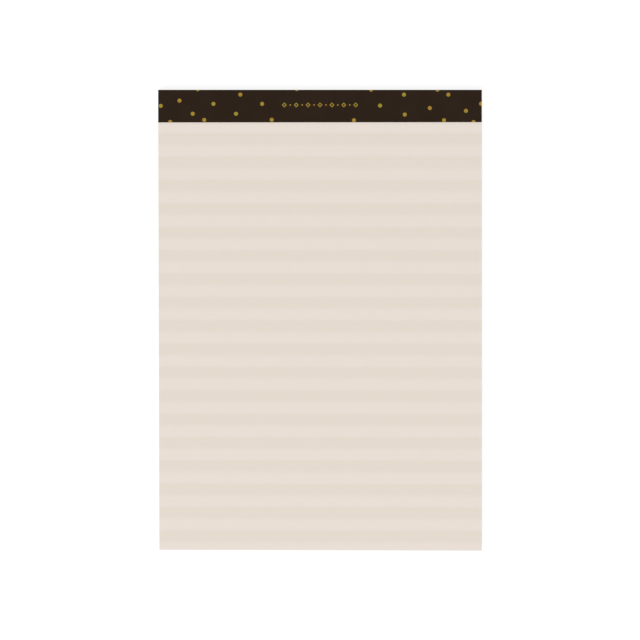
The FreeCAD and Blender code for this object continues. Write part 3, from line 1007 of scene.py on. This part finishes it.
@dataclass
class BindingStrip:
    """The cover-paper strip, bent from a flat blank round the head."""

    low: Vector
    high: Vector
    # The foil on the hidden faces stands out this far, so the strip is that much inside the CAD box there
    foil: float = 0.03 * MM
    caliper: float = 0.17 * MM
    bend: float = 0.5 * MM
    bend_steps: int = 10
    back_leg: float = 18.0 * MM
    # The front leg's cut runs out of square by this much, shorter at the right end
    skew: float = 0.18 * MM
    finish: Finish = field(default_factory=CoverPaper)

    @property
    def width(self) -> float:
        """The width of the strip."""
        return self.high.x - self.low.x

    @property
    def route_sizes(self) -> dict:
        """The sizes of the strip's route round the head."""
        return sizes_of(self, "bend", "bend_steps") | {
            "Front End": self.low.y,
            "Fold": self.high.y - self.foil,
            "Back End": self.high.y - self.back_leg,
            "Top": self.high.z,
            "Bottom": self.low.z + self.foil,
        }

    @cached_property
    def route(self) -> NodeTree:
        """The group that gives the strip's outer face, seen from its end, as an open curve."""
        tree, size = geometry_tree("strip_route", self.route_sizes)
        way = (("Front End", "Top"), ("Fold", "Top"), ("Fold", "Bottom"), ("Back End", "Bottom"))
        corners = {
            f"Point {number}": add_node(tree, "ShaderNodeCombineXYZ", {1: size[along], 2: size[up]})
            for number, (along, up) in enumerate(way, 1)
        }
        outline = add_node(tree, "GeometryNodeCurvePrimitiveQuadrilateral", corners, mode="POINTS")
        opened = add_node(tree, "GeometryNodeSetSplineCyclic", {"Geometry": outline, "Cyclic": False})
        bends = {"Curve": opened, "Radius": size["Bend"], "Limit Radius": True, "Count": size["Bend Steps"]}
        rounded = add_node(tree, "GeometryNodeFilletCurve", bends, mode="POLY")
        add_node(tree, "NodeGroupOutput", {"Geometry": rounded})
        return tree

    @cached_property
    def blank(self) -> NodeTree:
        """The group that makes the flat blank of a route.

        The blank runs along Y by the route's length from 0, is creased across where the route bends, and
        stands on Z = Base with the given thickness.
        """
        inputs = {"Geometry": None, "Width": 1.0, "Base": 0.0, "Thickness": 1.0, "Skew": 0.0}
        tree, size = geometry_tree("flat_blank", inputs)
        along = add_node(tree, "GeometryNodeSplineParameter").outputs["Length"]
        left = add_node(tree, "ShaderNodeMath", {0: size["Width"], 1: -0.5}, operation="MULTIPLY")
        flat = add_node(tree, "ShaderNodeCombineXYZ", {0: left, 1: along, 2: size["Base"]})
        laid = add_node(tree, "GeometryNodeSetPosition", {"Geometry": size["Geometry"], "Position": flat})
        edge = add_node(tree, "GeometryNodeCurveToMesh", {"Curve": laid})
        rightward = add_node(tree, "ShaderNodeCombineXYZ", {0: 1.0})
        sweep = {"Mesh": edge, "Offset": rightward, "Offset Scale": size["Width"]}
        face = add_node(tree, "GeometryNodeExtrudeMesh", sweep, mode="EDGES")
        # The faces have to look up, whichever way the extrusion turned them
        normal = add_node(tree, "GeometryNodeInputNormal")
        upward = add_node(tree, "ShaderNodeSeparateXYZ", {0: normal}).outputs[2]
        down = add_node(tree, "FunctionNodeCompare", {0: upward, 1: 0.0}, operation="LESS_THAN")
        face_up = add_node(tree, "GeometryNodeFlipFaces", {"Mesh": face, "Selection": down})
        closed = thicken(tree, face_up, size["Thickness"])
        position = add_node(tree, "GeometryNodeInputPosition")
        at = add_node(tree, "ShaderNodeSeparateXYZ", {0: position}).outputs
        on_cut = add_node(tree, "FunctionNodeCompare", {0: at[1], 1: WELD}, operation="LESS_THAN")
        across = add_node(tree, "ShaderNodeMath", {0: at[0], 1: size["Width"]}, operation="DIVIDE")
        share = add_node(tree, "ShaderNodeMath", {0: across, 1: 0.5}, operation="ADD")
        shorter = add_node(tree, "ShaderNodeMath", {0: share, 1: size["Skew"]}, operation="MULTIPLY")
        drawn = add_node(tree, "ShaderNodeCombineXYZ", {1: shorter})
        moved = {"Geometry": closed, "Selection": on_cut, "Offset": drawn}
        add_node(tree, "NodeGroupOutput", {"Geometry": add_node(tree, "GeometryNodeSetPosition", moved)})
        return tree

    @cached_property
    def wrap(self) -> NodeTree:
        """The group that bends a flat piece round the route, with its Z outwards from it."""
        tree, size = geometry_tree("bend_round_route", {"Geometry": None, "Route": None})
        position = add_node(tree, "GeometryNodeInputPosition")
        at = add_node(tree, "ShaderNodeSeparateXYZ", {0: position}).outputs
        sample = {"Curves": size["Route"], "Length": at[1]}
        by_length = {"mode": "LENGTH", "use_all_curves": True}
        on_route = add_node(tree, "GeometryNodeSampleCurve", sample, **by_length).outputs
        rightward = (1.0, 0.0, 0.0)
        turned = {0: rightward, 1: on_route["Tangent"]}
        outward = add_node(tree, "ShaderNodeVectorMath", turned, operation="CROSS_PRODUCT")
        raised = add_node(tree, "ShaderNodeVectorMath", {0: outward, "Scale": at[2]}, operation="SCALE")
        across = add_node(tree, "ShaderNodeCombineXYZ", {0: at[0]})
        terms = {0: on_route["Position"], 1: across}
        beside = add_node(tree, "ShaderNodeVectorMath", terms, operation="ADD")
        place = add_node(tree, "ShaderNodeVectorMath", {0: beside, 1: raised}, operation="ADD")
        bent = add_node(tree, "GeometryNodeSetPosition", {"Geometry": size["Geometry"], "Position": place})
        add_node(tree, "NodeGroupOutput", {"Geometry": bent})
        return tree

    def add_blank(
        self, tree: NodeTree, size: NodeOutputs, base: Node | float, thickness: NodeSocket
    ) -> list[Node]:
        """Adds the route and its flat blank to a tree.

        Args:
            tree: The node tree to add to.
            size: The tree's inputs, with the route's sizes, the width and the skew among them.
            base: The height of the blank's underside.
            thickness: How thick the blank is.

        Returns:
            The node that gives the route, and the node that gives the blank.
        """
        given = {name: size[name] for name in self.route_sizes}
        line = add_node(tree, "GeometryNodeGroup", given, node_tree=self.route)
        given = {"Geometry": line, "Base": base, "Thickness": thickness}
        given |= {"Width": size["Width"], "Skew": size["Skew"]}
        return [line, add_node(tree, "GeometryNodeGroup", given, node_tree=self.blank)]

    def strip_nodes(self, values: dict) -> NodeTree:
        """Builds the tree that folds the strip.

        Args:
            values: The value of each of the tree's inputs.

        Returns:
            The tree.
        """
        tree, size = geometry_tree("folded_strip", values)
        inward = add_node(tree, "ShaderNodeMath", {0: 0.0, 1: size["Caliper"]}, operation="SUBTRACT")
        line, flat = self.add_blank(tree, size, inward, size["Caliper"])
        bent = add_node(tree, "GeometryNodeGroup", {"Geometry": flat, "Route": line}, node_tree=self.wrap)
        finish_tree(tree, bent, size["Paper"])
        return tree

    def build(self) -> None:
        """Bends the blank round the head and hands the strip over."""
        values = self.route_sizes | sizes_of(self, "width", "caliper", "skew")
        values["Paper"] = self.finish.material()
        hand_over(grow("strip", self.strip_nodes(values), values), Slot.STRIP, "binding_strip")


@dataclass
class FoilPrint:
    """The gold foil on the strip: dots scattered over the whole blank, and a row of lozenges and pips."""

    strip: BindingStrip
    thickness: float = 0.03 * MM
    dot_diameter: float = 2.6 * MM
    dot_sides: int = 32
    # Centres of the dots on the front leg in millimetres: in from the edge, and down from the fold
    front_dots: dict[Side, tuple] = field(
        default_factory=lambda: {
            Side.LEFT: (
                (1.7, 10.5), (7.0, -1.1), (7.8, 20.9), (13.8, 7.1), (22.4, 15.6),
                (25.6, -0.3), (29.8, 19.6), (35.8, 9.2), (50.4, 15.6), (53.2, 3.2),
                (67.3, 9.2), (73.5, 19.5), (89.7, -0.4),
            ),
            Side.RIGHT: (
                (-1.2, 4.4), (0.5, 9.1), (5.4, 21.0), (10.3, 13.7), (21.7, 3.2),
                (24.5, 19.8), (28.7, 0.0), (33.7, 11.9), (49.9, 16.1), (50.4, 3.2),
                (65.9, 10.3), (71.7, 0.0), (82.8, 19.8),
            ),
        }
    )
    # The dots that the photograph can't show lie past the fold, no nearer to each other than the others do
    hidden_start: float = 24.0 * MM
    hidden_spacing: float = 9.5 * MM
    # So many tries on a square metre that no more dots fit at that spacing
    hidden_tries: float = 1e5
    seed: int = 4
    lozenges: int = 7
    lozenge_pitch: float = 7.7 * MM
    lozenge_size: float = 3.2 * MM
    stroke: float = 0.55 * MM
    pip_diameter: float = 1.0 * MM
    row_y: float = 139.325 * MM
    finish: Finish = field(default_factory=StampedFoil)

    def dot_centres(self) -> Mesh:
        """Places the front dots' centres on the flat blank.

        Returns:
            A mesh that has them as its points.
        """
        half = self.strip.width / 2
        leg = self.strip.high.y - self.strip.low.y
        centres = bpy.data.meshes.new("dot_centres")
        points = [
            (side.value * (half - inset * MM), leg - drop * MM, 0.0)
            for side, dots in self.front_dots.items()
            for inset, drop in dots
        ]
        centres.from_pydata(points, [], [])
        return centres

    def dot_nodes(self, values: dict) -> NodeTree:
        """Builds the tree that stamps dots on the blank, trims them with it and bends them round the head.

        Args:
            values: The value of each of the tree's inputs.

        Returns:
            The tree, which reads a mesh with the front dots' centres as its points.
        """
        tree, size = geometry_tree("foil_dots", {"Geometry": None} | values)
        line, flat = self.strip.add_blank(tree, size, 0.0, size["Thickness"])
        # The hidden part of the blank, on which the dots are strewn
        whole = add_node(tree, "GeometryNodeCurveLength", {"Curve": line})
        span, total = (
            add_node(tree, "ShaderNodeMath", {0: whole, 1: size["Hidden Start"]}, operation=sign)
            for sign in ("SUBTRACT", "ADD")
        )
        middle = add_node(tree, "ShaderNodeMath", {0: total, 1: 0.5}, operation="MULTIPLY")
        hidden = add_node(tree, "GeometryNodeMeshGrid", {"Size X": size["Width"], "Size Y": span})
        shift = add_node(tree, "ShaderNodeCombineXYZ", {1: middle})
        hidden = add_node(tree, "GeometryNodeTransform", {"Geometry": hidden, "Translation": shift})
        spread = {"Mesh": hidden, "Distance Min": size["Hidden Spacing"]}
        spread |= {"Density Max": size["Hidden Tries"], "Seed": size["Seed"]}
        strewn = add_node(tree, "GeometryNodeDistributePointsOnFaces", spread, distribute_method="POISSON")
        shown = add_node(tree, "GeometryNodeMeshToPoints", {"Mesh": size["Geometry"]})
        centres = add_node(tree, "GeometryNodeJoinGeometry", {"Geometry": [shown, strewn]})
        radius = add_node(tree, "ShaderNodeMath", {0: size["Dot Diameter"], 1: 0.5}, operation="MULTIPLY")
        # The discs stand out of the blank on both sides, and only what they share with it stays
        tall = add_node(tree, "ShaderNodeMath", {0: size["Thickness"], 1: 4.0}, operation="MULTIPLY")
        disc = {"Vertices": size["Dot Sides"], "Radius": radius, "Depth": tall}
        disc = add_node(tree, "GeometryNodeMeshCylinder", disc)
        stamped = add_node(tree, "GeometryNodeInstanceOnPoints", {"Points": centres, "Instance": disc})
        solid = add_node(tree, "GeometryNodeRealizeInstances", {"Geometry": stamped})
        cut = {"operation": Overlap.SHARED.value, "solver": "EXACT"}
        trimmed = add_node(tree, "GeometryNodeMeshBoolean", {"Mesh 2": [solid, flat]}, **cut)
        around = {"Geometry": trimmed, "Route": line}
        bent = add_node(tree, "GeometryNodeGroup", around, node_tree=self.strip.wrap)
        finish_tree(tree, bent, size["Metal"])
        return tree

    def row_nodes(self, values: dict) -> NodeTree:
        """Builds the tree that sets the lozenges and, midway between them, the pips.

        Args:
            values: The value of each of the tree's inputs.

        Returns:
            The tree.
        """
        tree, size = geometry_tree("foil_row", values)
        foil = size["Thickness"]
        pitch = size["Lozenge Pitch"]
        outer, pip_radius = (
            add_node(tree, "ShaderNodeMath", {0: size[across], 1: 0.5}, operation="MULTIPLY")
            for across in ("Lozenge Size", "Pip Diameter")
        )
        # A lozenge's sides run at 45 degrees, so its stroke is root two times as wide at the corners
        terms = {0: size["Stroke"], 1: math.sqrt(2)}
        corner = add_node(tree, "ShaderNodeMath", terms, operation="MULTIPLY")
        inner = add_node(tree, "ShaderNodeMath", {0: outer, 1: corner}, operation="SUBTRACT")
        tall = add_node(tree, "ShaderNodeMath", {0: foil, 1: 3.0}, operation="MULTIPLY")
        body, hole, pip = (
            add_node(tree, "GeometryNodeMeshCylinder", {"Vertices": sides, "Radius": radius, "Depth": high})
            for sides, radius, high in ((4, outer, foil), (4, inner, tall), (24, pip_radius, foil))
        )
        cut = {"operation": Overlap.REST.value, "solver": "EXACT"}
        ring = add_node(tree, "GeometryNodeMeshBoolean", {"Mesh 1": body, "Mesh 2": [hole]}, **cut)
        terms = {0: foil, 1: 0.5, 2: size["Height"]}
        middle = add_node(tree, "ShaderNodeMath", terms, operation="MULTIPLY_ADD")
        step = add_node(tree, "ShaderNodeCombineXYZ", {0: pitch})
        marks = []
        for shape, fewer in ((ring, 0.0), (pip, 1.0)):
            count = add_node(tree, "ShaderNodeMath", {0: size["Lozenges"], 1: fewer}, operation="SUBTRACT")
            gaps = add_node(tree, "ShaderNodeMath", {0: count, 1: 1.0}, operation="SUBTRACT")
            span = add_node(tree, "ShaderNodeMath", {0: gaps, 1: pitch}, operation="MULTIPLY")
            start = add_node(tree, "ShaderNodeMath", {0: span, 1: -0.5}, operation="MULTIPLY")
            first = add_node(tree, "ShaderNodeCombineXYZ", {0: start, 1: size["Row Y"], 2: middle})
            row = {"Count": count, "Start Location": first, "Offset": step}
            places = add_node(tree, "GeometryNodeMeshLine", row)
            copies = {"Points": places, "Instance": shape}
            marks.append(add_node(tree, "GeometryNodeInstanceOnPoints", copies))
        finish_tree(tree, add_node(tree, "GeometryNodeJoinGeometry", {"Geometry": marks}), size["Metal"])
        return tree

    def build(self) -> None:
        """Stamps the dots and the row and hands them over."""
        metal = {"Metal": self.finish.material()}
        dots = sizes_of(self, "thickness", "dot_diameter", "dot_sides", "hidden_start", "hidden_spacing")
        dots |= sizes_of(self, "hidden_tries", "seed") | sizes_of(self.strip, "width", "skew") | metal
        dots |= self.strip.route_sizes
        hand_over(grow("dots", self.dot_nodes(dots), dots, self.dot_centres()), Slot.FOIL, "foil_dots")
        row = sizes_of(self, "lozenges", "lozenge_pitch", "lozenge_size", "stroke", "pip_diameter", "row_y")
        row |= sizes_of(self, "thickness") | {"Height": self.strip.high.z} | metal
        hand_over(grow("ornament", self.row_nodes(row), row), Slot.FOIL, "foil_ornament")


@dataclass
class WireStitches:
    """The three wire stitches under the strip, kept as the part has them."""

    names: tuple[str, ...] = ("wire_stitch_left", "wire_stitch_middle", "wire_stitch_right")
    finish: Finish = field(default_factory=ZincWire)

    def build(self) -> None:
        """Gives the stitches their finish."""
        metal = self.finish.material()
        for name in self.names:
            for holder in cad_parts[name].material_slots:
                holder.material = metal
            log.info("%s: kept, finish %s", name, metal.name)


@dataclass
class Studio:
    """The white floor and world, a softbox in front of the pad, and the camera straight above it."""

    top: float
    lens_mm: float = 100.0
    sensor_mm: float = 36.0
    # The photograph is 640 pixels wide, at 0.6473 mm a pixel on the pad's face
    view_width: float = 414.3 * MM
    centre_y: float = 0.12 * MM
    floor_size: float = 12.0
    # The floor lies just below the pad, so that the two don't share a plane
    floor_gap: float = 0.02 * MM
    floor_finish: Finish = field(default_factory=StudioFloor)
    sky: float = 0.57
    lamp_place: tuple[float, float, float] = (-2.3, -5.26, 8.19)
    lamp_size: float = 5.5
    lamp_power: float = 575.0

    def set_camera(self, scene: Scene) -> None:
        """Puts the camera above the pad, as far off as the view's width needs.

        Args:
            scene: The scene that it goes into.
        """
        lens = bpy.data.cameras.new("camera")
        lens.lens = self.lens_mm
        lens.sensor_width = self.sensor_mm
        lens.clip_start = 0.01
        camera = bpy.data.objects.new("camera", lens)
        distance = self.view_width * self.lens_mm / self.sensor_mm
        camera.location = (0.0, self.centre_y, self.top + distance)
        scene.collection.objects.link(camera)
        scene.camera = camera
        scene.view_settings.view_transform = "Standard"
        log.info("camera: %.3f m above the pad", distance)

    def light(self, scene: Scene) -> None:
        """Makes the world, which shows white and lights less, and the softbox.

        Args:
            scene: The scene that it goes into.
        """
        world = bpy.data.worlds.new("white_studio")
        scene.world = world
        world.use_nodes = True
        tree = world.node_tree
        tree.nodes.clear()
        light, shown = (
            add_node(tree, "ShaderNodeBackground", {"Color": WHITE, "Strength": strength})
            for strength in (self.sky, 1.0)
        )
        chosen = add_node(tree, "ShaderNodeMixShader", {0: seen_directly(tree), 1: light, 2: shown})
        add_node(tree, "ShaderNodeOutputWorld", {"Surface": chosen})

        lamp = bpy.data.lights.new("softbox", "AREA")
        lamp.size = self.lamp_size
        lamp.energy = self.lamp_power
        softbox = bpy.data.objects.new("softbox", lamp)
        softbox.location = self.lamp_place
        softbox.rotation_euler = Vector(self.lamp_place).to_track_quat("Z", "Y").to_euler()
        softbox.visible_camera = False
        scene.collection.objects.link(softbox)
        log.info("light: white world and softbox")

    def lay_floor(self, scene: Scene) -> None:
        """Lays the floor just below the pad.

        Args:
            scene: The scene that it goes into.
        """
        half = self.floor_size / 2
        mesh = bpy.data.meshes.new("floor")
        outline = ((-half, -half), (half, -half), (half, half), (-half, half))
        corners = [(x, y, -self.floor_gap) for x, y in outline]
        mesh.from_pydata(corners, [], [(0, 1, 2, 3)])
        mesh.materials.append(self.floor_finish.material())
        floor = bpy.data.objects.new("floor", mesh)
        scene.collection.objects.link(floor)
        log.info("floor: finish %s", mesh.materials[0].name)

    def build(self) -> None:
        """Makes the camera, the light and the floor."""
        scene = bpy.context.scene
        self.set_camera(scene)
        self.light(scene)
        self.lay_floor(scene)


def main() -> None:
    """Builds the pad's pieces in order, then the studio."""
    logging.basicConfig(level=logging.INFO, format="%(name)s %(message)s")
    sheet_low, sheet_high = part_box("sheet_block")
    strip_low, strip_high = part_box("binding_strip")
    trim = TrimSkew()
    SheetStack(trim, sheet_low, sheet_high, strip_low.y).build()
    BackingBoard(trim).build()
    strip = BindingStrip(strip_low, strip_high)
    strip.build()
    FoilPrint(strip).build()
    WireStitches().build()
    Studio(top=strip_high.z).build()


if __name__ == "__main__":
    main()
